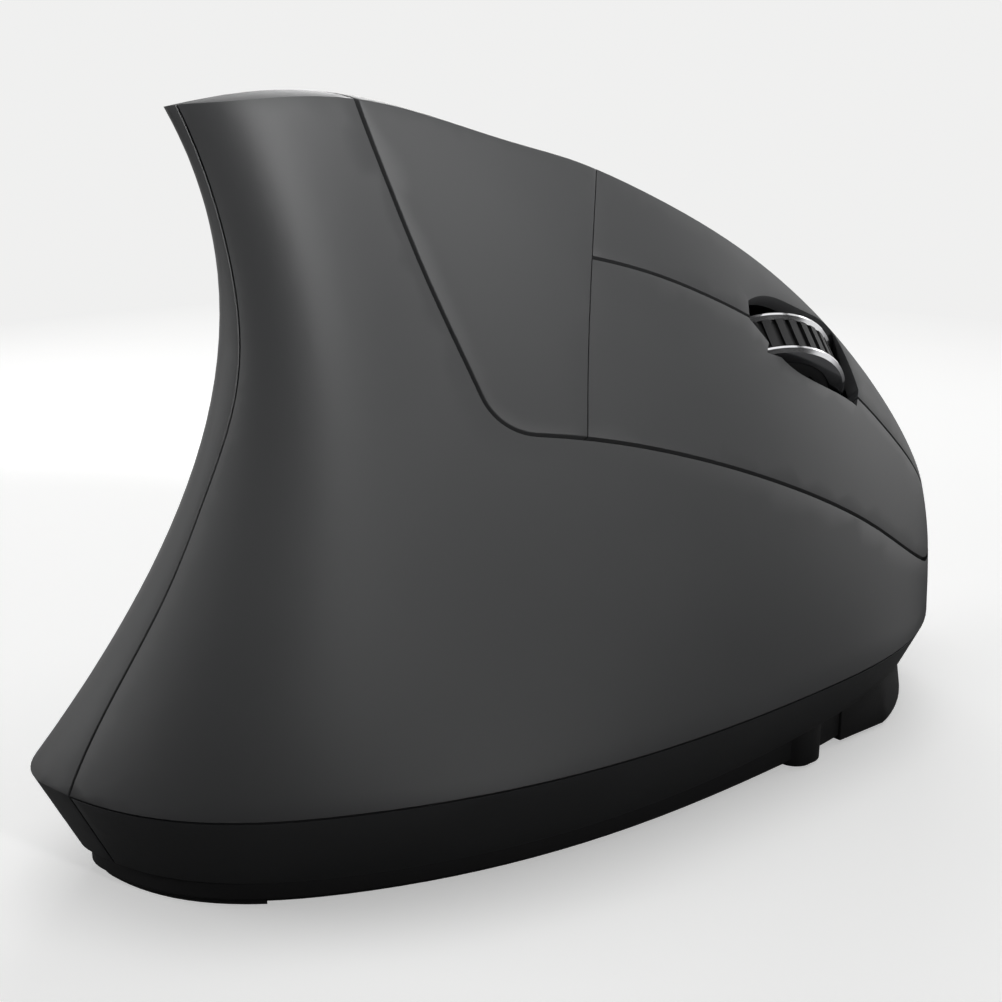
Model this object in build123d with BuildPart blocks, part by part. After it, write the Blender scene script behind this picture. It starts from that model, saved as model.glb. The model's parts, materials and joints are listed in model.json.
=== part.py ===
from build123d import *
from math import cos, hypot, radians, sin, sqrt
import os

# A vertical computer mouse for the right hand. X points to the finger side, Y to the nose, Z up.
# The hand grips it like a handshake: the fingers lie on the sloping +X face, the thumb on the -X face.

# Main sizes
body_length = 121.0
body_width = 62.0
body_height = 75.0
wall = 2.0
seam_gap = 0.3
key_gap = 0.45
overrun = 5.0
reach = 1.2 * body_length
thumb_reach = body_width / 2
seam_reach = 0.6 * body_length

# Shift that puts the origin on the table under the middle of the mouse
centring = (0.7, 0.75, 0)

# Horizontal sections of the hand grip, from the knuckle line at the bottom to just above the ridge.
# Each has a tail, six points up the finger side, a nose and five points back down the thumb side.
station_shares = (0, 0.05, 0.17, 0.40, 0.64, 0.84, 0.96, 1, 0.95, 0.72, 0.42, 0.16, 0.05)
station_runs = (0, 0.042, 0.1, 0.207, 0.317, 0.41, 0.473, 0.509, 0.543, 0.653, 0.791, 0.911, 0.965, 1)
level_shares = (0.16, 0.387, 0.613, 0.84, 1.067)
tail_shares = (-0.5, -0.402, -0.320, -0.297, -0.345)
nose_shares = (0.483, 0.5, 0.479, 0.455, 0.43)
across_shares = (
    (-0.032, 0.189, 0.350, 0.468, 0.476, 0.394, 0.205, 0.045, -0.113, -0.403, -0.500, -0.339, -0.201),
    (-0.005, 0.153, 0.231, 0.319, 0.342, 0.268, 0.139, -0.011, -0.129, -0.250, -0.274, -0.202, -0.123),
    (-0.060, 0.053, 0.089, 0.152, 0.181, 0.119, 0.018, -0.097, -0.194, -0.242, -0.234, -0.202, -0.152),
    (-0.137, -0.056, -0.031, 0.008, 0.008, -0.058, -0.118, -0.194, -0.258, -0.274, -0.266, -0.234, -0.204),
    (-0.229, -0.153, -0.110, -0.094, -0.123, -0.194, -0.247, -0.315, -0.355, -0.331, -0.323, -0.282, -0.273),
)
knuckle_height = level_shares[0] * body_height

# Ridge: where it runs, how high it is, and where across the body its crown lies
ridge_along_shares = (-0.62, -0.45, -0.38, -0.29, -0.215, -0.10, 0.033, 0.165, 0.28, 0.372, 0.438, 0.50, 0.56)
ridge_height_shares = (0.88, 0.940, 0.961, 0.990, 1.0, 0.966, 0.902, 0.807, 0.68, 0.51, 0.34, 0.18, 0.08)
crown_across_shares = (-0.22, -0.205, -0.19, -0.17, -0.155, -0.11, -0.055, 0, 0.06, 0.12, 0.155, 0.17, 0.18)
crown_steps = 4
crown_slope = 0.8
crown_softness = 8.0
crown_reach = 40.0

# Seam between the finger side and the thumb side, looked at from behind
seam_across_shares = (0.028, 0.028, 0.027, 0.018, -0.008, -0.033, -0.110, -0.177, -0.218)
seam_height_shares = (-0.13, 0.173, 0.267, 0.387, 0.493, 0.613, 0.80, 0.987, 1.12)

# Skirt below the knuckle line, and the sole under it
skirt_bottom = 3.4
skirt_inset = 4.0
skirt_wall = 3.3
tongue_gap = 0.1
tongue_rise = 2.0
skirt_along_shares = (-0.7, -0.33, -0.08, 0.10, 0.27, 0.41, 0.7)
skirt_edge_rises = (0, 0, 0.2, 1.3, 3.6, 4.8, 5.2)
sole_inset = 5.0
sole_bottom = 0.6
sole_plate = 2.4
sole_top = sole_bottom + sole_plate
sole_edge = 0.6
rim_width = 3.0
nose_inset = 2.4
nose_top_inset = 4.1
nose_start = 25.6
nose_side = 24.0
side_boss_radius = 2.9
side_boss_place = (22.9, 18.6)

# Key plane: X along the wheel's roll, towards the nose, Y up across the keys, Z out of the finger face
wheel_centre = (4.3, 30.0, 39.2)
face_lean = 45.0
face_turn = 18.0
roll_fall = 22.4
roll_turn = 84.0
face_normal = (
    cos(radians(face_lean)) * cos(radians(face_turn)),
    cos(radians(face_lean)) * sin(radians(face_turn)),
    sin(radians(face_lean)),
)
roll_direction = (
    cos(radians(roll_fall)) * cos(radians(roll_turn)),
    cos(radians(roll_fall)) * sin(radians(roll_turn)),
    -sin(radians(roll_fall)),
)
key_plane = Plane(origin=wheel_centre, x_dir=roll_direction, z_dir=face_normal)

# Keys: outline of the panel, the slit between the keys and the line on which the keys bend
panel_rear = ((-84.0, 37.0), (-60.4, 10.5), (-55.5, 4.7), (-50.6, -1.9), (-45.7, -9.0), (-41.1, -17.0))
panel_lower = (
    (-41.1, -17.0), (-30.3, -16.9), (-18.4, -17.9), (-4.3, -19.2), (11.3, -20.0),
    (20.2, -20.0), (24.2, -18.8), (28.2, -14.9), (32.3, -8.9), (34.6, -2.7), (35.5, 6.0), (36.5, 37.0),
)
panel_corner_round = 7.0
slit_line = (
    (-45.0, 2.4), (-31.5, 2.6), (-22.8, 2.2), (-17.2, 1.5), (-9.8, 0.3), (0, -1.9), (9.0, -4.2),
    (17.4, -6.7), (27.0, -8.5), (36.0, -9.0), (60.0, -9.0),
)
slit_gap = 0.4
bend_line = -31.5
bend_gap = 0.06
ridge_gap = 0.9
ledge_width = 3.0

# Scroll wheel
wheel_radius = 10.0
wheel_clearance = 0.65
wheel_side_gap = 0.4
tyre_width = 4.2
tyre_depth = 1.8
rib_count = 36
rib_depth = 0.5
rib_width = 0.8
rim_ring_width = 1.1
rim_ring_radius = 10.3
rim_ring_edge = 0.4
hub_radius = wheel_radius - tyre_depth
hub_inset = 0.1
hub_width = tyre_width + 2 * (rim_ring_width - hub_inset)
axle_radius = 1.5
axle_length = 13.0
window_count = 10
window_radius = 5.6
window_size = (1.6, 2.4)
pin_fit = 0.05
wheel_slot_far = ((-9.8, 2.4), (-6.4, 4.1), (0, 4.4), (5.0, 4.0), (7.8, 1.0), (9.5, -3.0))
wheel_slot_near = ((8.5, -5.5), (1.0, -5.1), (-4.4, -4.1), (-7.9, -1.6), (-9.9, 0))

# Wheel yoke, which carries the wheel and sinks a little when the wheel is pressed
arm_inside = 4.3
arm_thick = 1.2
arm_width = 7.0
arm_top = 2.6
yoke_bottom = -12.6
yoke_floor = 1.4
lug_thick = 1.2
lug_width = 4.4
lug_reach = 12.2
guide_gap = 0.3
guide_thick = 1.4
guide_depth = 4.6
press_travel = 0.5
rest_gap = 0.1

# Key board with its switches, in the key plane
board_thick = 1.2
key_board_top = -9.0
key_board_outline = ((-12.0, -19.0), (18.0, -19.0), (22.0, -15.0), (22.0, -8.0), (17.0, 3.0), (-12.0, 6.0))
board_slot = (15.0, 12.8)
micro_switch = (12.8, 5.8, 6.5)
micro_plunger = (2.8, 1.4, 0.8)
plunger_shift = 1.6
switch_places = {"upper": (13.4, -1.8), "lower": (14.6, -14.4)}
switch_turns = {"upper": 90, "lower": 0}
post_radius = 1.6
key_travel = 0.55
tact_side = 6.0
tact_height = 3.5
tact_stem = 0.5
tact_stem_radius = 1.6
wheel_switch_place = (0, -10.4)
wheel_eye = (2.6, 4.0, 7.0)
wheel_eye_place = (5.2, -8.6)

# Buttons under the thumb, with their board
thumb_board_side = -5.5
thumb_board_outline = ((-22.0, 33.5), (12.0, 33.5), (12.0, 59.0), (2.0, 59.0), (-22.0, 50.0))
thumb_post_radius = 1.8
thumb_post_places = ((-19.5, 35.5), (-17.5, 48.5), (9.5, 48.5))
button_proud = 0.8
button_gap = 0.35
button_travel = 0.6
button_round = 1.4
button_sizes = {"back": (15.6, 6.2), "forward": (15.6, 6.2), "dpi": (9.0, 4.2)}
button_places = {"back": (-12.0, 42.0), "forward": (4.6, 42.0), "dpi": (6.0, 54.5)}
button_flange = 1.2
button_flange_thick = 1.0
button_stem_radius = 1.8

# Battery bay, with two AAA cells side by side
cell_radius = 5.25
cell_length = 43.5
cell_nub_radius = 1.9
cell_nub = 0.9
cell_gap = 0.3
bay_centre = (-2.0, -13.0)
bay_length = 48.0
bay_wall = 1.2
cover_thick = 1.1
cover_lift = 0.2
cover_gap = 0.3
cover_lap = 1.6
cover_travel = 4.0
cover_rail = 0.7
cover_rail_height = 0.5
contact_thick = 0.4
contact_side = 8.0
contact_spring_radius = 2.6
contact_spring = 2.6
bay_width = 2 * (2 * cell_radius + cell_gap) + cell_gap
cell_bottom = sole_bottom + cover_lift + cover_thick + cell_gap
cell_height = cell_bottom + cell_radius
bay_top = cell_bottom + 2 * cell_radius + cell_gap

# Main board with the motion sensor and the power switch
main_board_bottom = 7.4
main_board_place = (1.0, 25.5)
main_board_size = (28.0, 16.0)
main_post_radius = 1.8
main_post_edge = 2.2
sensor_place = (2.0, 28.0)
sensor_size = (9.0, 11.0)
lens_size = (10.0, 12.0)
lens_bottom = 1.4
lens_nose = (6.0, 7.0)
lens_flange = 1.0
led_place = (2.0, 20.2)
led_size = (3.0, 2.4, 2.0)
chip_size = (7.0, 7.0, 1.2)
chip_place = (8.0, 25.0)
crystal_size = (3.2, 8.0, 2.0)
crystal_place = (-4.0, 26.0)
power_place = (-6.6, 25.8)
power_switch_size = (4.6, 9.0, 2.6)
slider_knob = (3.4, 4.6)
slider_travel = 3.0
slider_stem = (1.6, 1.8)
slider_depth = 1.2
slider_gap = 0.25

# Inner frame that carries the key board
frame_rib = 2.0
frame_rib_places = (14.0, 38.0)
frame_inset = 2.6
frame_across = (-5.0, 14.0)
frame_rail_length = 32.0
frame_rail_width = 3.0
frame_rail_places = (-17.2, -9.2)
frame_rail_height = 2.0

# Screws and feet
screw_places = ((15.0, -31.0), (-17.8, -30.0), (19.5, 23.0), (-16.5, 23.0))
screw_head_radius = 2.2
screw_head_height = 1.0
screw_radius = 1.1
screw_length = 9.0
boss_radius = 2.7
boss_top = 25.5
foot_thick = 0.8
foot_sink = foot_thick - sole_bottom
foot_edge = 0.95
rear_foot_end = -45.0
front_foot_width = 5.0
side_foot_radius = 2.2

os.makedirs("parts", exist_ok=True)


def inset_points(points, distance):
    """Move the points of a closed outline inwards, square to the line between their neighbours."""
    moved = []
    for index, (x, y) in enumerate(points):
        before = points[index - 1]
        after = points[(index + 1) % len(points)]
        run_x = after[0] - before[0]
        run_y = after[1] - before[1]
        run = hypot(run_x, run_y)
        moved.append((x - distance * run_y / run, y + distance * run_x / run))
    return moved


def section_points(level, inset):
    """Points of one horizontal section of the grip, moved inwards by the inset."""
    start = tail_shares[level] * body_length
    chord = nose_shares[level] * body_length - start
    points = []
    for across, station in zip(across_shares[level], station_shares):
        points.append((across * body_width, start + station * chord))
    if level == len(level_shares) - 1:
        inset = min(inset, wall)
    return inset_points(points, inset)


def section_outline(level, inset):
    """Closed curve through the points of one section, with the same spacing in every section."""
    return Edge.make_spline(section_points(level, inset), periodic=True, parameters=station_runs)


def crown_points(centre, height):
    """Cross-section of the roof: level over the crown and falling away to both sides."""
    points = []
    for step in range(-crown_steps, crown_steps + 1):
        offset = crown_reach * step / crown_steps
        fall = sqrt((crown_slope * offset) ** 2 + crown_softness ** 2) - crown_softness
        points.append((centre + offset, height - fall))
    return points


def roof(inset):
    """Solid under the ridge, lofted through upright sections from tail to nose."""
    crown_runs = [step / (2 * crown_steps) for step in range(2 * crown_steps + 1)]
    with BuildPart() as solid:
        for along, height, crown in zip(ridge_along_shares, ridge_height_shares, crown_across_shares):
            points = crown_points(crown * body_width, height * body_height - inset)
            with BuildSketch(Plane.XZ.offset(-along * body_length)):
                with BuildLine():
                    add(Edge.make_spline(points, parameters=crown_runs))
                    Polyline(
                        points[-1], (points[-1][0], -body_height),
                        (points[0][0], -body_height), points[0],
                    )
                make_face()
        loft()
    return solid.part


def grip(inset):
    """The hand grip above the knuckle line, smaller all round by the inset."""
    with BuildPart() as solid:
        for level, share in enumerate(level_shares):
            with BuildSketch(Plane.XY.offset(share * body_height)):
                with BuildLine():
                    add(section_outline(level, inset))
                make_face()
        loft()
        add(roof(inset), mode=Mode.INTERSECT)
    return solid.part


def skirt(inset):
    """The part below the knuckle line, which draws in towards the sole."""
    with BuildPart() as solid:
        for height, extra in ((skirt_bottom, skirt_inset), (knuckle_height, 0)):
            with BuildSketch(Plane.XY.offset(height)):
                with BuildLine():
                    add(section_outline(0, inset + extra))
                make_face()
        loft()
    return solid.part


def outline_slab(inset, bottom, top):
    """Upright slab with the knuckle line's outline, moved inwards by the inset."""
    with BuildPart() as solid:
        with BuildSketch(Plane.XY.offset(bottom)):
            with BuildLine():
                add(section_outline(0, inset))
            make_face()
        extrude(amount=top - bottom)
    return solid.part


def finger_side(shift):
    """Everything on the finger side of the seam, with the seam moved towards the fingers."""
    line = []
    for across, height in zip(seam_across_shares, seam_height_shares):
        line.append((across * body_width + shift, height * body_height))
    with BuildPart() as solid:
        with BuildSketch(Plane.XZ):
            with BuildLine():
                Spline(*line)
                Polyline(line[-1], (reach, line[-1][1]), (reach, line[0][1]), line[0])
            make_face()
        extrude(amount=seam_reach, both=True)
    return solid.part


def under_skirt():
    """Everything under the skirt's lower edge, which climbs towards the nose."""
    line = []
    for along, rise in zip(skirt_along_shares, skirt_edge_rises):
        line.append((along * body_length, skirt_bottom + rise))
    with BuildPart() as solid:
        with BuildSketch(Plane.YZ):
            with BuildLine():
                Spline(*line)
                Polyline(line[-1], (line[-1][0], -overrun), (line[0][0], -overrun), line[0])
            make_face()
        extrude(amount=reach, both=True)
    return solid.part


def panel_cell(shrink):
    """Prism through the key panel, square to the key plane, smaller all round by the shrink."""
    points = inset_points(panel_rear + panel_lower[1:], shrink)
    rear = points[:len(panel_rear)]
    lower = points[len(panel_rear) - 1:]
    with BuildPart() as solid:
        with BuildSketch(key_plane) as outline:
            with BuildLine():
                Spline(*rear)
                Spline(*lower)
                Line(lower[-1], rear[0])
            make_face()
            corner = outline.vertices().sort_by_distance(key_plane.from_local_coords(rear[-1]))[0]
            fillet(corner, radius=panel_corner_round - shrink)
        extrude(amount=crown_reach, both=True)
    return solid.part


def above_slit(shift):
    """Prism over the upper key, square to the key plane."""
    line = [(along, across + shift) for along, across in slit_line]
    with BuildPart() as solid:
        with BuildSketch(key_plane):
            with BuildLine():
                Spline(*line)
                Polyline(line[-1], (line[-1][0], reach), (line[0][0], reach), line[0])
            make_face()
        extrude(amount=crown_reach, both=True)
    return solid.part


def ahead_of_bend(shift):
    """Everything in front of the line on which the keys bend."""
    with BuildPart() as solid:
        with Locations(key_plane.location * Pos(bend_line + shift + reach / 2, 0, 0)):
            Box(reach, 2 * reach, 2 * reach)
    return solid.part


def key_place(along, across, out):
    """Location over the key plane."""
    return key_plane.location * Pos(along, across, out)


def bore(places, radius, low, high):
    """Upright cylinders at the given places."""
    with BuildPart() as solid:
        for x, y in places:
            with Locations((x, y, (low + high) / 2)):
                Cylinder(radius=radius, height=high - low)
    return solid.part


def block(size, low, high, place=(0, 0)):
    """Upright box between two heights."""
    with BuildPart() as solid:
        with Locations((place[0], place[1], (low + high) / 2)):
            Box(size[0], size[1], high - low)
    return solid.part


def key_block(size, low, high, place=(0, 0), turn=0):
    """Box square to the key plane, between two heights over it."""
    with BuildPart() as solid:
        with Locations(key_place(place[0], place[1], (low + high) / 2) * Rot(0, 0, turn)):
            Box(size[0], size[1], high - low)
    return solid.part


def key_pin(radius, low, high, place=(0, 0)):
    """Cylinder square to the key plane, between two heights over it."""
    with BuildPart() as solid:
        with Locations(key_place(place[0], place[1], (low + high) / 2)):
            Cylinder(radius=radius, height=high - low)
    return solid.part


def thumb_pin(radius, near, far, place):
    """Cylinder along X at a place given by Y and Z."""
    with BuildPart() as solid:
        with Locations(Pos((near + far) / 2, place[0], place[1]) * Rot(0, 90, 0)):
            Cylinder(radius=radius, height=abs(far - near))
    return solid.part


def wheel_disc(radius, width, shift=0):
    """Cylinder on the wheel's axle, moved along the axle by the shift."""
    with BuildPart() as solid:
        with Locations(key_place(0, shift, 0) * Rot(-90, 0, 0)):
            Cylinder(radius=radius, height=width)
    return solid.part


def slab_ring(inset, width, low, high):
    """Upright rim along the knuckle line's outline."""
    with BuildPart() as solid:
        add(outline_slab(inset, low, high))
        add(outline_slab(inset + width, low - overrun, high + overrun), mode=Mode.SUBTRACT)
    return solid.part


def sole_rim():
    """Rim of the sole that closes the gap under the skirt."""
    with BuildPart() as solid:
        add(slab_ring(sole_inset, rim_width, sole_top - wall / 2, knuckle_height))
        add(skirt_shadow, mode=Mode.INTERSECT)
    return solid.part


def nose_rim():
    """Wider rim of the sole under the nose, up to the skirt's edge."""
    with BuildPart() as solid:
        for height, inset in ((sole_bottom, nose_inset), (knuckle_height, nose_top_inset)):
            with BuildSketch(Plane.XY.offset(height)):
                with BuildLine():
                    add(section_outline(0, inset))
                make_face()
        loft()
        chamfer(solid.faces().sort_by(Axis.Z)[0].edges(), length=sole_edge / 2)
        with Locations((nose_side, nose_start, 0)):
            Box(reach, reach, reach, align=(Align.MAX, Align.MIN, Align.CENTER), mode=Mode.INTERSECT)
        add(skirt_shadow, mode=Mode.INTERSECT)
        add(outline_slab(nose_top_inset + rim_width, sole_top, knuckle_height), mode=Mode.SUBTRACT)
    return solid.part


def side_block():
    """Half-round block on the finger side of the sole."""
    with BuildPart() as solid:
        add(bore((side_boss_place,), side_boss_radius, sole_bottom, knuckle_height))
        add(skirt_shadow, mode=Mode.INTERSECT)
    return solid.part


def foot_blanks(gap):
    """Foot pads along the tail, along the nose and under the side block."""
    start = nose_start + foot_edge + gap
    side = nose_side - foot_edge - gap
    with BuildPart() as front:
        add(slab_ring(nose_inset + foot_edge + gap, front_foot_width - 2 * gap, 0, foot_thick))
        with Locations((side, start, 0)):
            Box(reach, reach, reach, align=(Align.MAX, Align.MIN, Align.CENTER), mode=Mode.INTERSECT)
    with BuildPart() as solid:
        add(outline_slab(sole_inset + foot_edge + gap, 0, foot_thick))
        with Locations((0, rear_foot_end - gap, 0)):
            Box(reach, reach, reach, align=(Align.CENTER, Align.MAX, Align.CENTER), mode=Mode.INTERSECT)
        add(front.part)
        add(bore((side_boss_place,), side_foot_radius - gap, 0, foot_thick))
    return solid.part


def tongue():
    """Lip of the base frame behind the lower edge of the shell."""
    with BuildPart() as solid:
        add(grip(wall + tongue_gap))
        add(block((reach, reach), knuckle_height + tongue_rise, reach), mode=Mode.SUBTRACT)
        add(grip(skirt_wall), mode=Mode.SUBTRACT)
    return solid.part


def bosses(places):
    """Screw bosses that stand on the sole and end in the shell, each with a hole for its screw."""
    with BuildPart() as solid:
        add(bore(places, boss_radius, knuckle_height, boss_top))
        add(core, mode=Mode.INTERSECT)
        add(bore(places, boss_radius, sole_top, knuckle_height))
        add(bore(places, screw_radius + pin_fit, 0, hole_end), mode=Mode.SUBTRACT)
    return solid.part


def thumb_posts():
    """Posts on the inside of the thumb shell that carry the thumb board."""
    with BuildPart() as solid:
        for place in thumb_post_places:
            add(thumb_pin(thumb_post_radius, thumb_board_side, -crown_reach, place))
        add(core, mode=Mode.INTERSECT)
    return solid.part


def panel_lip():
    """Lip that fixes the key panel behind the edge of the shell's window."""
    with BuildPart() as solid:
        add(hollow)
        add(panel_cell(-ledge_width), mode=Mode.INTERSECT)
        add(finger_side(ridge_gap), mode=Mode.INTERSECT)
        add(ahead_of_bend(-ledge_width), mode=Mode.SUBTRACT)
    return solid.part


def wheel_slot():
    """Prism through the keys over the wheel."""
    with BuildPart() as solid:
        with BuildSketch(key_plane):
            with BuildLine():
                Spline(*wheel_slot_far)
                Line(wheel_slot_far[-1], wheel_slot_near[0])
                Spline(*wheel_slot_near)
                Line(wheel_slot_near[-1], wheel_slot_far[0])
            make_face()
        extrude(amount=reach)
    return solid.part


def key_post(place):
    """Post under a key that presses its switch."""
    low = key_board_top + micro_switch[2] + micro_plunger[2] + key_travel + rest_gap
    with BuildPart() as solid:
        add(key_pin(post_radius, low, crown_reach, place))
        add(core, mode=Mode.INTERSECT)
    return solid.part


def button_prism(name, grow, rise=0):
    """Prism through the thumb side with the rounded outline of one button, taller by the rise."""
    length, height = button_sizes[name]
    with BuildPart() as solid:
        with BuildSketch(Plane.YZ.offset(thumb_board_side)):
            with Locations(button_places[name]):
                RectangleRounded(length + 2 * grow, height + 2 * grow + 2 * rise, button_round + grow)
        extrude(amount=-thumb_reach)
    return solid.part


def button_foot(name):
    """Flange and stem of one button, behind the shell."""
    stem_end = thumb_board_side - tact_height - tact_stem - button_travel - rest_gap
    with BuildPart() as solid:
        add(button_prism(name, 0, button_flange))
        add(deep_form, mode=Mode.SUBTRACT)
        add(thumb_pin(button_stem_radius, stem_end, -crown_reach, button_places[name]))
        add(flange_form, mode=Mode.INTERSECT)
    return solid.part


# Forms used by several pieces
hull = grip(0)
hollow = grip(wall)
core = grip(wall / 2)
flange_form = grip(wall + button_gap)
deep_form = grip(wall + button_gap + button_flange_thick)
proud_form = grip(-button_proud)
skirt_shadow = under_skirt()
with BuildPart() as shell:
    add(hull)
    add(hollow, mode=Mode.SUBTRACT)
with BuildPart() as band:
    add(skirt(0))
    add(skirt(skirt_wall), mode=Mode.SUBTRACT)
    add(skirt_shadow, mode=Mode.SUBTRACT)

# Heights and lengths that follow from the sizes above
screw_bottom = sole_bottom + foot_sink
screw_head_top = screw_bottom + screw_head_height
hole_end = screw_bottom + screw_length + pin_fit
right_screws = screw_places[0::2]
left_screws = screw_places[1::2]
cover_bottom = sole_bottom + cover_lift
cover_top = cover_bottom + cover_thick
pocket_top = cover_top + cover_gap / 2
rail_bottom = cover_top - cover_rail_height
cover_width = bay_width + 2 * cover_lap
cover_length = bay_length + 2 * cover_lap
pocket_length = cover_length + cover_travel + 2 * cover_gap
pocket_place = (bay_centre[0], bay_centre[1] - cover_travel / 2)
slot_place = (power_place[0], power_place[1] + slider_travel / 2)
sensor_bottom = sole_top + lens_flange
knob_top = sole_bottom + slider_depth
board_bottom = key_board_top - board_thick
room_width = tyre_width + 2 * (rim_ring_width + wheel_side_gap)
lug_bottom = key_board_top + tact_height + tact_stem + press_travel + rest_gap
main_posts = []
for side in (-1, 1):
    for end in (-1, 1):
        x = main_board_place[0] + side * (main_board_size[0] / 2 - main_post_edge)
        y = main_board_place[1] + end * (main_board_size[1] / 2 - main_post_edge)
        main_posts.append((x, y))

# Sole: the bottom plate with the battery bay and the places for board, sensor and switch
with BuildPart() as sole:
    add(outline_slab(sole_inset, sole_bottom, sole_top))
    chamfer(sole.faces().sort_by(Axis.Z)[0].edges(), length=sole_edge)
    add(sole_rim())
    add(nose_rim())
    add(side_block())
    bay_box = (bay_width + 2 * bay_wall, bay_length + 2 * bay_wall)
    add(block(bay_box, sole_bottom, bay_top + bay_wall, bay_centre))
    add(block((bay_width, bay_length), 0, bay_top, bay_centre), mode=Mode.SUBTRACT)
    rail_room = (cover_width + 2 * cover_gap, pocket_length)
    add(block(rail_room, rail_bottom - cover_gap / 2, pocket_top, pocket_place), mode=Mode.SUBTRACT)
    add(
        block((cover_width - 2 * cover_rail + 2 * cover_gap, pocket_length), 0, pocket_top, pocket_place),
        mode=Mode.SUBTRACT,
    )
    add(bore(main_posts, main_post_radius, sole_top - wall / 2, main_board_bottom))
    add(bore(screw_places, boss_radius + seam_gap, sole_top, knuckle_height), mode=Mode.SUBTRACT)
    add(bore(screw_places, screw_radius + 2 * pin_fit, 0, sole_top), mode=Mode.SUBTRACT)
    add(bore(screw_places, screw_head_radius + 2 * pin_fit, 0, screw_head_top), mode=Mode.SUBTRACT)
    lens_room = (lens_nose[0] + 2 * rest_gap, lens_nose[1] + 2 * rest_gap)
    add(block(lens_room, 0, sole_top, sensor_place), mode=Mode.SUBTRACT)
    add(
        block(
            (slider_stem[0] + 2 * slider_gap, slider_stem[1] + slider_travel + 2 * slider_gap),
            0, sole_top, slot_place,
        ),
        mode=Mode.SUBTRACT,
    )
    add(
        block(
            (slider_knob[0] + 2 * slider_gap, slider_knob[1] + slider_travel + 2 * slider_gap),
            0, knob_top, slot_place,
        ),
        mode=Mode.SUBTRACT,
    )
    add(foot_blanks(0), mode=Mode.SUBTRACT)

# Foot pads: three low-friction slides in shallow recesses
with BuildPart() as foot_pads:
    add(foot_blanks(pin_fit))

# Base frame: the skirt on the finger side, with a tongue that reaches up behind the shell
with BuildPart() as base_frame:
    add(band.part)
    add(block((reach, reach), knuckle_height - seam_gap, reach), mode=Mode.SUBTRACT)
    add(slab_ring(wall + tongue_gap, skirt_wall - wall - tongue_gap, knuckle_height - wall / 2, knuckle_height))
    add(tongue())
    add(finger_side(seam_gap / 2), mode=Mode.INTERSECT)
    add(bore(right_screws, boss_radius + seam_gap, 0, boss_top), mode=Mode.SUBTRACT)

# Finger-side shell, with the window for the keys and two screw bosses
with BuildPart() as right_shell:
    add(shell.part)
    add(finger_side(seam_gap / 2), mode=Mode.INTERSECT)
    add(panel_cell(-key_gap / 2), mode=Mode.SUBTRACT)
    add(bosses(right_screws))

# Thumb-side shell in one with its skirt, with three button windows and two screw bosses
with BuildPart() as thumb_shell:
    add(shell.part)
    add(finger_side(-seam_gap / 2), mode=Mode.SUBTRACT)
    for name in button_sizes:
        add(button_prism(name, button_gap), mode=Mode.SUBTRACT)
    add(bosses(left_screws))
    add(thumb_posts())
with BuildPart() as thumb_skirt:
    add(band.part)
    add(finger_side(-seam_gap / 2), mode=Mode.SUBTRACT)
with BuildPart() as thumb_side:
    add(thumb_shell.part)
    add(thumb_skirt.part)
    add(bore(left_screws, screw_radius + pin_fit, 0, hole_end), mode=Mode.SUBTRACT)

# Key panel: the fixed rear piece, and two keys that bend down from it
with BuildPart() as panel:
    add(shell.part)
    add(panel_cell(key_gap / 2), mode=Mode.INTERSECT)
    add(finger_side(seam_gap / 2), mode=Mode.INTERSECT)
with BuildPart() as key_panel:
    add(hull)
    add(panel_cell(key_gap / 2), mode=Mode.INTERSECT)
    add(finger_side(seam_gap / 2), mode=Mode.INTERSECT)
    add(ahead_of_bend(0), mode=Mode.SUBTRACT)
    add(panel_lip())
    add(grip(skirt_wall), mode=Mode.SUBTRACT)
with BuildPart() as keys:
    add(panel.part)
    add(ahead_of_bend(bend_gap), mode=Mode.INTERSECT)
    add(finger_side(ridge_gap - seam_gap / 2), mode=Mode.INTERSECT)
    add(wheel_slot(), mode=Mode.SUBTRACT)
    add(wheel_disc(rim_ring_radius + wheel_clearance, room_width), mode=Mode.SUBTRACT)
with BuildPart() as upper_key:
    add(keys.part)
    add(above_slit(slit_gap / 2), mode=Mode.INTERSECT)
    add(key_post(switch_places["upper"]))
with BuildPart() as lower_key:
    add(keys.part)
    add(above_slit(-slit_gap / 2), mode=Mode.SUBTRACT)
    add(key_post(switch_places["lower"]))

# Buttons under the thumb
buttons = {}
for name in button_sizes:
    with BuildPart() as button:
        add(button_prism(name, 0))
        add(proud_form, mode=Mode.INTERSECT)
        add(deep_form, mode=Mode.SUBTRACT)
        add(button_foot(name))
    buttons[name] = button.part

# Scroll wheel: a ribbed tyre between two bright rims on a slotted hub with its axle
with BuildPart() as wheel_tyre:
    add(wheel_disc(wheel_radius, tyre_width))
    add(wheel_disc(hub_radius, tyre_width + overrun), mode=Mode.SUBTRACT)
    with Locations(key_place(0, 0, 0) * Rot(-90, 0, 0)):
        with PolarLocations(wheel_radius, rib_count):
            Box(2 * rib_depth, rib_width, tyre_width + overrun, mode=Mode.SUBTRACT)
with BuildPart() as wheel_rims:
    for side in (-1, 1):
        add(wheel_disc(rim_ring_radius, rim_ring_width, side * (tyre_width + rim_ring_width) / 2))
    chamfer(wheel_rims.edges().filter_by(GeomType.CIRCLE), length=rim_ring_edge)
    add(wheel_disc(hub_radius, hub_width + overrun), mode=Mode.SUBTRACT)
with BuildPart() as wheel_hub:
    add(wheel_disc(hub_radius, hub_width))
    with Locations(key_place(0, 0, 0) * Rot(-90, 0, 0)):
        with PolarLocations(window_radius, window_count):
            Box(window_size[1], window_size[0], hub_width + overrun, mode=Mode.SUBTRACT)
    add(wheel_disc(axle_radius, axle_length))

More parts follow.
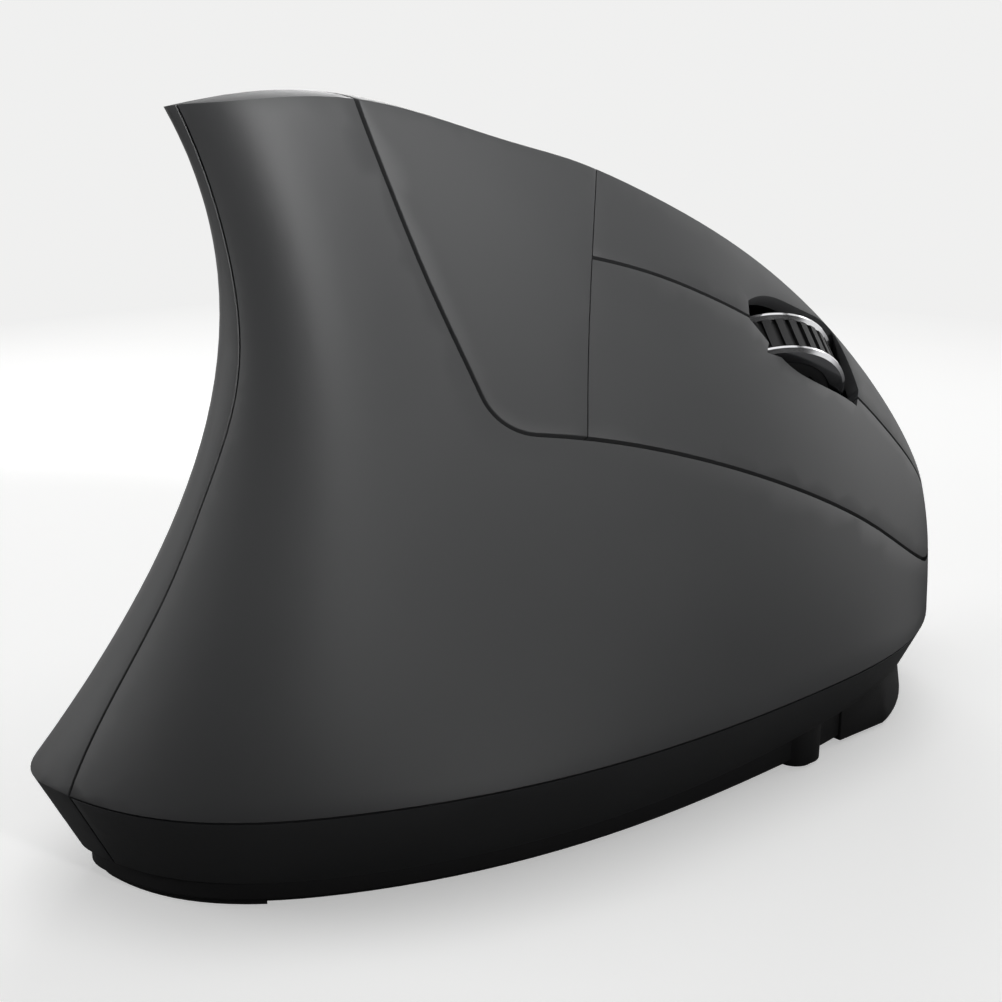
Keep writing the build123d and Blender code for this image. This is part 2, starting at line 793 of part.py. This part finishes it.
# Wheel yoke: two arms, a floor and a lug that presses the wheel switch
arm_middle = arm_inside + arm_thick / 2
arm_outside = arm_inside + arm_thick
with BuildPart() as wheel_yoke:
    for side in (-1, 1):
        add(key_block((arm_width, arm_thick), yoke_bottom, arm_top, (0, side * arm_middle)))
    add(key_block((arm_width, 2 * arm_outside), yoke_bottom, yoke_bottom + yoke_floor))
    lug_middle = -(arm_middle + lug_reach) / 2
    add(key_block((lug_width, lug_reach - arm_middle), lug_bottom, lug_bottom + lug_thick, (0, lug_middle)))
    add(wheel_disc(axle_radius + pin_fit, 2 * axle_length), mode=Mode.SUBTRACT)

# Guide: a cup under the key board in which the yoke slides
with BuildPart() as wheel_guide:
    guide_bottom = board_bottom - guide_depth
    guide_size = (arm_width + 2 * guide_gap, 2 * (arm_outside + guide_gap))
    guide_box = (guide_size[0] + 2 * guide_thick, guide_size[1] + 2 * guide_thick)
    add(key_block(guide_box, guide_bottom, board_bottom))
    add(key_block(guide_size, guide_bottom + guide_thick, board_bottom + overrun), mode=Mode.SUBTRACT)

# Key board with its switches
with BuildPart() as key_board:
    with BuildSketch(key_plane.offset(board_bottom)):
        with BuildLine():
            Polyline(*key_board_outline, close=True)
        make_face()
    extrude(amount=board_thick)
    add(key_block(board_slot, board_bottom - overrun, 0), mode=Mode.SUBTRACT)

key_switches = {}
for name in switch_places:
    turn = switch_turns[name]
    place = switch_places[name]
    middle = (place[0] - plunger_shift * cos(radians(turn)), place[1] - plunger_shift * sin(radians(turn)))
    case_top = key_board_top + micro_switch[2]
    with BuildPart() as key_switch:
        add(key_block(micro_switch[:2], key_board_top, case_top, middle, turn))
        add(key_block(micro_plunger[:2], case_top, case_top + micro_plunger[2], place, turn))
    key_switches[name] = key_switch.part

with BuildPart() as wheel_switch:
    tact_top = key_board_top + tact_height
    add(key_block((tact_side, tact_side), key_board_top, tact_top, wheel_switch_place))
    add(key_pin(tact_stem_radius, tact_top, tact_top + tact_stem, wheel_switch_place))

with BuildPart() as wheel_sensors:
    for side in (-1, 1):
        eye_place = (side * wheel_eye_place[0], wheel_eye_place[1])
        add(key_block(wheel_eye[:2], key_board_top, key_board_top + wheel_eye[2], eye_place))

# Inner frame: two ribs on the sole and two rails under the key board
with BuildPart() as inner_frame:
    for along in frame_rib_places:
        middle = ((frame_across[0] + frame_across[1]) / 2, along + frame_rib / 2)
        add(block((frame_across[1] - frame_across[0], frame_rib), knuckle_height, body_height, middle))
    add(key_block((reach, reach), board_bottom, reach), mode=Mode.SUBTRACT)
    for across in frame_rail_places:
        rail = (frame_rail_length, frame_rail_width)
        add(key_block(rail, board_bottom - frame_rail_height, board_bottom, (0, across)))
    add(grip(frame_inset), mode=Mode.INTERSECT)
    for along in frame_rib_places:
        middle = ((frame_across[0] + frame_across[1]) / 2, along + frame_rib / 2)
        add(block((frame_across[1] - frame_across[0], frame_rib), sole_top, knuckle_height, middle))

# Thumb board with its switches
with BuildPart() as thumb_board:
    with BuildSketch(Plane.YZ.offset(thumb_board_side)):
        with BuildLine():
            Polyline(*thumb_board_outline, close=True)
        make_face()
    extrude(amount=board_thick)

with BuildPart() as thumb_switches:
    for place in button_places.values():
        stem_start = thumb_board_side - tact_height
        with Locations((thumb_board_side - tact_height / 2, place[0], place[1])):
            Box(tact_height, tact_side, tact_side)
        add(thumb_pin(tact_stem_radius, stem_start, stem_start - tact_stem, place))

# Battery cover, cells and contacts
with BuildPart() as battery_cover:
    add(block((cover_width - 2 * cover_rail, cover_length), cover_bottom, cover_top, bay_centre))
    add(block((cover_width, cover_length), rail_bottom, cover_top, bay_centre))

cell_start = bay_centre[1] - bay_length / 2 + contact_thick + contact_spring + pin_fit
with BuildPart() as battery_cells:
    for side in (-1, 1):
        cell_across = bay_centre[0] + side * (cell_radius + cell_gap / 2)
        middle = bay_centre[1] + side * (bay_centre[1] - cell_start - cell_length / 2)
        tip = middle - side * (cell_length + cell_nub) / 2
        with Locations(Pos(cell_across, middle, cell_height) * Rot(90, 0, 0)):
            Cylinder(radius=cell_radius, height=cell_length)
        with Locations(Pos(cell_across, tip, cell_height) * Rot(90, 0, 0)):
            Cylinder(radius=cell_nub_radius, height=cell_nub)

with BuildPart() as battery_contacts:
    for side in (-1, 1):
        cell_across = bay_centre[0] + side * (cell_radius + cell_gap / 2)
        for end in (-1, 1):
            plate_along = bay_centre[1] + end * (bay_length - contact_thick) / 2
            with Locations((cell_across, plate_along, cell_height)):
                Box(contact_side, contact_thick, contact_side)
        spring_along = bay_centre[1] + side * (bay_length / 2 - contact_thick - contact_spring / 2)
        with Locations(Pos(cell_across, spring_along, cell_height) * Rot(90, 0, 0)):
            Cylinder(radius=contact_spring_radius, height=contact_spring)

# Main board with the motion sensor, its lens and light, two parts on top and the power switch
with BuildPart() as main_board:
    add(block(main_board_size, main_board_bottom, main_board_bottom + board_thick, main_board_place))
with BuildPart() as board_chips:
    board_top = main_board_bottom + board_thick
    add(block(chip_size[:2], board_top, board_top + chip_size[2], chip_place))
    add(block(crystal_size[:2], board_top, board_top + crystal_size[2], crystal_place))
with BuildPart() as motion_sensor:
    add(block(sensor_size, sensor_bottom, main_board_bottom, sensor_place))
with BuildPart() as sensor_lens:
    add(block(lens_size, sole_top, sensor_bottom, sensor_place))
    add(block(lens_nose, lens_bottom, sole_top, sensor_place))
with BuildPart() as sensor_light:
    add(block(led_size[:2], main_board_bottom - led_size[2], main_board_bottom, led_place))
with BuildPart() as power_switch:
    add(block(power_switch_size[:2], main_board_bottom - power_switch_size[2], main_board_bottom, slot_place))
with BuildPart() as power_slider:
    add(block(slider_knob, cover_bottom, knob_top - rest_gap, power_place))
    add(block(slider_stem, cover_bottom, main_board_bottom - power_switch_size[2] - rest_gap, power_place))

# Screws: four of a kind, from below through the sole into the bosses
with BuildPart() as housing_screws:
    add(bore(screw_places, screw_head_radius, screw_bottom, screw_head_top))
    add(bore(screw_places, screw_radius, screw_bottom, screw_bottom + screw_length))

pieces = {
    "sole": sole.part,
    "foot_pads": foot_pads.part,
    "base_frame": base_frame.part,
    "right_shell": right_shell.part,
    "thumb_shell": thumb_side.part,
    "key_panel": key_panel.part,
    "upper_key": upper_key.part,
    "lower_key": lower_key.part,
    "back_button": buttons["back"],
    "forward_button": buttons["forward"],
    "dpi_button": buttons["dpi"],
    "wheel_tyre": wheel_tyre.part,
    "wheel_rims": wheel_rims.part,
    "wheel_hub": wheel_hub.part,
    "wheel_yoke": wheel_yoke.part,
    "wheel_guide": wheel_guide.part,
    "key_board": key_board.part,
    "upper_switch": key_switches["upper"],
    "lower_switch": key_switches["lower"],
    "wheel_switch": wheel_switch.part,
    "wheel_sensors": wheel_sensors.part,
    "inner_frame": inner_frame.part,
    "thumb_board": thumb_board.part,
    "thumb_switches": thumb_switches.part,
    "battery_cover": battery_cover.part,
    "battery_cells": battery_cells.part,
    "battery_contacts": battery_contacts.part,
    "main_board": main_board.part,
    "board_chips": board_chips.part,
    "motion_sensor": motion_sensor.part,
    "sensor_lens": sensor_lens.part,
    "sensor_light": sensor_light.part,
    "power_switch": power_switch.part,
    "power_slider": power_slider.part,
    "housing_screws": housing_screws.part,
}
for name, piece in pieces.items():
    placed = Pos(*centring) * piece
    placed.label = name
    export_step(placed, "parts/" + name + ".step")
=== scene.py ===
import json
import math
import bmesh
import bpy
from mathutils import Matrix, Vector

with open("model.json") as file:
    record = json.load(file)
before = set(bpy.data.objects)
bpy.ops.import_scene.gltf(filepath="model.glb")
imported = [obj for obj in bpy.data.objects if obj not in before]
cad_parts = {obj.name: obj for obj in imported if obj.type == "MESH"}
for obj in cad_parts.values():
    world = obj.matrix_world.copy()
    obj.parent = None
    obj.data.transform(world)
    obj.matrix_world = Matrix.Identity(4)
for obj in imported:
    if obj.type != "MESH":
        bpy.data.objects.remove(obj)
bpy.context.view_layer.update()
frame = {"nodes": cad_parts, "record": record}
nodes = frame["nodes"]
mm = 0.001
print("frame loaded:", len(nodes), "nodes")


# Shader sums are written with a wrapped socket
class Num:
    def __init__(self, tree, socket):
        self.tree = tree
        self.socket = socket

    def math(self, kind, first, second=None):
        node = self.tree.nodes.new("ShaderNodeMath")
        node.operation = kind
        for slot, value in zip(node.inputs, (first, second)):
            if isinstance(value, Num):
                self.tree.links.new(value.socket, slot)
            elif value is not None:
                slot.default_value = value
        return Num(self.tree, node.outputs[0])

    def __add__(self, other):
        return self.math("ADD", self, other)

    def __radd__(self, other):
        return self.math("ADD", other, self)

    def __sub__(self, other):
        return self.math("SUBTRACT", self, other)

    def __rsub__(self, other):
        return self.math("SUBTRACT", other, self)

    def __mul__(self, other):
        return self.math("MULTIPLY", self, other)

    def __rmul__(self, other):
        return self.math("MULTIPLY", other, self)

    def __gt__(self, other):
        return self.math("GREATER_THAN", self, other)

    def __lt__(self, other):
        return self.math("LESS_THAN", self, other)

    def clamp(self):
        result = self.math("ADD", self, 0.0)
        result.socket.node.use_clamp = True
        return result


class Finish:
    # one material with its nodes
    def __init__(self, name):
        self.material = bpy.data.materials.new(name)
        self.material.use_nodes = True
        self.tree = self.material.node_tree
        self.shader = self.tree.nodes["Principled BSDF"]
        self.place = self.add("ShaderNodeTexCoord").outputs["Object"]

    def add(self, kind, settings=None, **sockets):
        node = self.tree.nodes.new(kind)
        for key, value in (settings or {}).items():
            setattr(node, key, value)
        for key, value in sockets.items():
            self.feed(node.inputs[key], value)
        return node

    def feed(self, slot, value):
        if isinstance(value, Num):
            self.tree.links.new(value.socket, slot)
        elif isinstance(value, bpy.types.NodeSocket):
            self.tree.links.new(value, slot)
        elif slot.type == "RGBA" and len(value) == 3:
            slot.default_value = (*value, 1.0)
        else:
            slot.default_value = value

    def noise(self, size, detail=2.0, vector=None):
        node = self.add("ShaderNodeTexNoise", Vector=vector or self.place, Scale=1.0 / size, Detail=detail)
        return Num(self.tree, node.outputs["Fac"])

    def cells(self, size, feature="F1"):
        node = self.add("ShaderNodeTexVoronoi", {"feature": feature}, Vector=self.place, Scale=1.0 / size)
        return Num(self.tree, node.outputs["Distance"])

    # a colour mix has its factor on socket 0 and its colours on 6 and 7
    def mix(self, amount, low, high):
        node = self.add("ShaderNodeMix", {"data_type": "RGBA"})
        for socket, value in ((0, amount), (6, low), (7, high)):
            self.feed(node.inputs[socket], value)
        return node.outputs[2]

    def bump(self, height, strength, distance):
        node = self.add("ShaderNodeBump", Strength=strength, Distance=distance)
        self.feed(node.inputs["Height"], height)
        self.feed(self.shader.inputs["Normal"], node.outputs[0])

    def set(self, **sockets):
        for key, value in sockets.items():
            self.feed(self.shader.inputs[key.replace("_", " ")], value)


# Finishes, with sizes in metres
coatLook = {
    "dark": (0.058, 0.059, 0.061), "light": (0.072, 0.073, 0.075), "cloud": 0.02, "cloudSwing": 0.05,
    "roughness": 0.50, "grain": 0.00016, "grainSwing": 0.06, "relief": 0.12, "depth": 0.00004,
    "dustStep": 0.010, "dustSize": 0.011, "dustShare": 0.6, "dust": (0.55, 0.55, 0.54),
}


def softCoat(name, look=coatLook):
    f = Finish(name)
    cloud = f.noise(look["cloud"], 3.0)
    grain = f.noise(look["grain"])
    speck = (f.cells(look["dustStep"]) < look["dustSize"]) * look["dustShare"]
    shade = f.mix(cloud, look["dark"], look["light"])
    uneven = look["grainSwing"] * (grain - 0.5) + look["cloudSwing"] * (cloud - 0.5)
    f.set(Base_Color=f.mix(speck, shade, look["dust"]), Roughness=look["roughness"] + uneven)
    f.bump(grain, look["relief"], look["depth"])
    return f.material


plasticLook = {"cloud": 0.012, "swing": 0.1, "depth": 0.00005}


def mouldedPlastic(name, dark, light, roughness, grain=0.0003, relief=0.15, look=plasticLook):
    f = Finish(name)
    cloud = f.noise(look["cloud"])
    pits = f.noise(grain, 3.0)
    f.set(Base_Color=f.mix(cloud, dark, light), Roughness=roughness + look["swing"] * (pits - 0.5))
    f.bump(pits, relief, look["depth"])
    return f.material


metalLook = {"lines": 0.0006, "stretch": 12.0, "swing": 0.08, "dim": 0.9}


def plainMetal(name, colour, roughness, axis="X", look=metalLook):
    # fine lines that change quickest along Z, or along X
    f = Finish(name)
    scale = (1.0, 1.0, look["stretch"]) if axis == "X" else (look["stretch"], 1.0, 1.0)
    stretch = f.add("ShaderNodeMapping", Vector=f.place, Scale=scale)
    lines = f.noise(look["lines"], vector=stretch.outputs[0])
    dimmed = tuple(v * look["dim"] for v in colour)
    f.set(Base_Color=f.mix(lines, colour, dimmed), Metallic=1.0, Roughness=roughness + look["swing"] * lines)
    return f.material


boardLook = {
    "pathStep": 0.0032, "pathEdge": 0.06, "padStep": 0.0045, "padSize": 0.12, "roughness": 0.32, "swing": 0.1,
    "base": (0.02, 0.13, 0.05), "path": (0.008, 0.075, 0.03), "pad": (0.55, 0.42, 0.16),
    "relief": 0.2, "depth": 0.00003,
}


def boardLaminate(name, look=boardLook):
    f = Finish(name)
    trace = f.cells(look["pathStep"], "DISTANCE_TO_EDGE") > look["pathEdge"]
    pad = f.cells(look["padStep"]) < look["padSize"]
    shade = f.mix(trace, look["base"], look["path"])
    f.set(Base_Color=f.mix(pad, shade, look["pad"]), Roughness=look["roughness"] + look["swing"] * pad)
    f.bump(trace, look["relief"], look["depth"])
    return f.material


finishes = {
    "soft_plastic": softCoat("softPlastic"),
    "satin_plastic": mouldedPlastic("satinPlastic", (0.045, 0.046, 0.048), (0.055, 0.056, 0.058), 0.36),
    "black_plastic": mouldedPlastic("blackPlastic", (0.022, 0.022, 0.023), (0.03, 0.03, 0.031), 0.48,
                                    0.0004, 0.25),
    "button_plastic": mouldedPlastic("buttonPlastic", (0.03, 0.03, 0.032), (0.036, 0.036, 0.038), 0.3),
    "foot_plastic": mouldedPlastic("footPlastic", (0.03, 0.03, 0.03), (0.04, 0.04, 0.04), 0.35, 0.0008, 0.1),
    "tyre_rubber": mouldedPlastic("tyreRubber", (0.012, 0.012, 0.013), (0.018, 0.018, 0.019), 0.6, 0.0002, 0.3),
    "rim_chrome": plainMetal("rimChrome", (0.86, 0.86, 0.88), 0.1),
    "white_plastic": mouldedPlastic("whitePlastic", (0.6, 0.59, 0.56), (0.66, 0.65, 0.62), 0.42),
    "board_laminate": boardLaminate("boardLaminate"),
    "switch_plastic": mouldedPlastic("switchPlastic", (0.04, 0.04, 0.044), (0.055, 0.055, 0.06), 0.4),
    "cell_jacket": mouldedPlastic("cellJacket", (0.09, 0.09, 0.1), (0.12, 0.12, 0.13), 0.28, 0.002, 0.05),
    "contact_steel": plainMetal("contactSteel", (0.62, 0.62, 0.63), 0.25, "Z"),
    "chip_resin": mouldedPlastic("chipResin", (0.018, 0.018, 0.02), (0.026, 0.026, 0.028), 0.5),
    "lens_clear": mouldedPlastic("lensClear", (0.62, 0.67, 0.7), (0.7, 0.75, 0.78), 0.12),
    "lamp_resin": mouldedPlastic("lampResin", (0.5, 0.08, 0.06), (0.6, 0.12, 0.1), 0.2),
}
slotOf = {part["node"]: part["material_slot"] for part in frame["record"]["subparts"]}
for name, obj in nodes.items():
    obj.data.materials.clear()
    obj.data.materials.append(finishes[slotOf[name]])
print("finishes made")


def deselect():
    bpy.ops.object.select_all(action="DESELECT")


# Edges of the moulded pieces are softened, by widths in millimetres
softEdges = {
    "right_shell": 0.5, "thumb_shell": 0.9, "key_panel": 0.12, "upper_key": 0.12, "lower_key": 0.12,
    "base_frame": 0.35, "sole": 0.3, "back_button": 0.35, "forward_button": 0.35, "dpi_button": 0.3,
    "foot_pads": 0.25, "wheel_hub": 0.15, "wheel_yoke": 0.25, "battery_cover": 0.15, "power_slider": 0.15,
}
edgeLook = {"weld": 0.002, "steps": 3, "sharp": 38, "smooth": 35, "smoothPlain": 30}
for name in sorted(nodes):
    obj = nodes[name]
    deselect()
    obj.select_set(True)
    bpy.context.view_layer.objects.active = obj
    smooth = edgeLook["smoothPlain"]
    if name in softEdges:
        weld = obj.modifiers.new("weld", "WELD")
        weld.merge_threshold = edgeLook["weld"] * mm
        edge = obj.modifiers.new("softEdge", "BEVEL")
        edge.width = softEdges[name] * mm
        edge.segments = edgeLook["steps"]
        edge.limit_method = "ANGLE"
        edge.angle_limit = math.radians(edgeLook["sharp"])
        smooth = edgeLook["smooth"]
    bpy.ops.object.shade_smooth_by_angle(angle=math.radians(smooth))
deselect()
print("edges softened")


# Stage: a sheet of pale paper that rises behind the mouse
stageLook = {
    "turn": 51.4, "side": 3.0, "front": 1.4, "back": 1.1, "rise": 2.2, "curve": 0.9, "curveSteps": 24,
    "near": 0.16, "fade": 14.0, "paper": (0.86, 0.86, 0.857), "bounce": (0.14, 0.14, 0.14),
    "glow": (0.42, 0.42, 0.418), "white": (0.87, 0.87, 0.866), "roughness": 0.95,
    "fibre": 0.004, "relief": 0.05, "depth": 0.0002,
}
deselect()
bpy.ops.mesh.primitive_plane_add(size=2.0, location=(0, 0, 0))
backdrop = bpy.context.object
backdrop.name = "backdrop"
for corner in backdrop.data.vertices:
    corner.co.x *= stageLook["side"]
    corner.co.y = stageLook["back"] if corner.co.y > 0 else -stageLook["front"]
bpy.ops.object.mode_set(mode="EDIT")
bpy.ops.mesh.select_all(action="DESELECT")
bpy.ops.mesh.select_mode(type="EDGE")
sheet = bmesh.from_edit_mesh(backdrop.data)
for edge in sheet.edges:
    edge.select_set(all(v.co.y > 0 for v in edge.verts))
bmesh.update_edit_mesh(backdrop.data)
bpy.ops.mesh.extrude_region_move(TRANSFORM_OT_translate={"value": (0, 0, stageLook["rise"])})
bpy.ops.mesh.select_all(action="DESELECT")
for edge in sheet.edges:
    edge.select_set(all(v.co.y > 0 and abs(v.co.z) < 0.001 for v in edge.verts))
bmesh.update_edit_mesh(backdrop.data)
bpy.ops.mesh.bevel(offset=stageLook["curve"], segments=stageLook["curveSteps"], affect="EDGES")
bpy.ops.object.mode_set(mode="OBJECT")
bpy.ops.object.shade_smooth()
backdrop.rotation_euler = (0, 0, math.radians(stageLook["turn"]))
bpy.ops.object.transform_apply(location=False, rotation=True, scale=False)

# The paper near the mouse takes its shadow. Further away it is an even white to the camera
paper = Finish("backdropPaper")
rays = paper.add("ShaderNodeLightPath")
cameraRay, glossyRay = (Num(paper.tree, rays.outputs[kind]) for kind in ("Is Camera Ray", "Is Glossy Ray"))
position = paper.add("ShaderNodeSeparateXYZ", Vector=paper.place)
across, along = (Num(paper.tree, position.outputs[axis]) for axis in ("X", "Y"))
away = ((across * across + along * along - stageLook["near"] ** 2) * stageLook["fade"]).clamp()
seen = (cameraRay + away * glossyRay).clamp()
near = paper.mix(seen, stageLook["bounce"], stageLook["paper"])
glow = paper.mix(away, stageLook["glow"], stageLook["white"])
paper.set(
    Base_Color=paper.mix(away, near, (0, 0, 0)), Roughness=stageLook["roughness"], Specular_IOR_Level=0.0,
    Emission_Color=paper.mix(seen, (0, 0, 0), glow), Emission_Strength=1.0,
)
paper.bump(paper.noise(stageLook["fibre"]), stageLook["relief"], stageLook["depth"])
backdrop.data.materials.append(paper.material)

# The world is a faint light on the mouse, and pale to the camera
worldLook = {"light": (0.03, 0.03, 0.03, 1), "seen": (0.9, 0.9, 0.895, 1)}
world = bpy.data.worlds.new("studio")
world.use_nodes = True
bpy.context.scene.world = world
worldTree = world.node_tree
rays = worldTree.nodes.new("ShaderNodeLightPath")
mixer = worldTree.nodes.new("ShaderNodeMix")
mixer.data_type = "RGBA"
mixer.inputs[6].default_value = worldLook["light"]
mixer.inputs[7].default_value = worldLook["seen"]
worldTree.links.new(rays.outputs["Is Camera Ray"], mixer.inputs[0])
worldTree.links.new(mixer.outputs[2], worldTree.nodes["Background"].inputs[0])

# The face lamp's soft edge falls across the mouse, so its light fades towards the table
lampLooks = {
    "topLamp": {"place": (0.0, 0.1, 1.0), "aim": (0, 0, 0), "size": 1.2, "power": 4.4},
    "backLamp": {"place": (-0.5, 0.45, 0.3), "aim": (0, 0, 0.05), "size": 0.35, "power": 1.8},
    "rightLamp": {"place": (0.12, 0.75, 0.3), "aim": (0, 0.03, 0.03), "size": 0.4, "power": 0.8},
    "leftLamp": {"place": (-0.45, -0.6, 0.3), "aim": (0, 0, 0.03), "size": 0.4, "power": 1.4},
    "faceLamp": {"place": (0.87, 0.05, 0.46), "aim": (0, -0.01, 0.178), "power": 54, "cone": 19, "soft": 0.08},
}
for name, look in lampLooks.items():
    lampData = bpy.data.lights.new(name, "SPOT" if "cone" in look else "AREA")
    if "cone" in look:
        lampData.spot_size = math.radians(look["cone"])
        lampData.spot_blend = 1.0
        lampData.shadow_soft_size = look["soft"]
    else:
        lampData.size = look["size"]
    lampData.energy = look["power"]
    lamp = bpy.data.objects.new(name, lampData)
    bpy.context.scene.collection.objects.link(lamp)
    lamp.location = look["place"]
    direction = Vector(look["aim"]) - Vector(look["place"])
    lamp.rotation_euler = direction.to_track_quat("-Z", "Y").to_euler()

cameraLook = {
    "place": (0.1265, -0.10625, 0.0779), "turn": 51.4, "dip": 16.4,
    "sensor": 36, "focalPixels": 1500, "photoPixels": 1002, "nearest": 0.01,
}
cameraData = bpy.data.cameras.new("camera")
cameraData.lens = cameraLook["sensor"] * cameraLook["focalPixels"] / cameraLook["photoPixels"]
cameraData.sensor_width = cameraLook["sensor"]
cameraData.clip_start = cameraLook["nearest"]
camera = bpy.data.objects.new("camera", cameraData)
bpy.context.scene.collection.objects.link(camera)
camera.location = cameraLook["place"]
camera.rotation_euler = (math.radians(90 - cameraLook["dip"]), 0, math.radians(cameraLook["turn"]))
bpy.context.scene.camera = camera
bpy.context.scene.view_settings.view_transform = "Standard"
print("stage set")
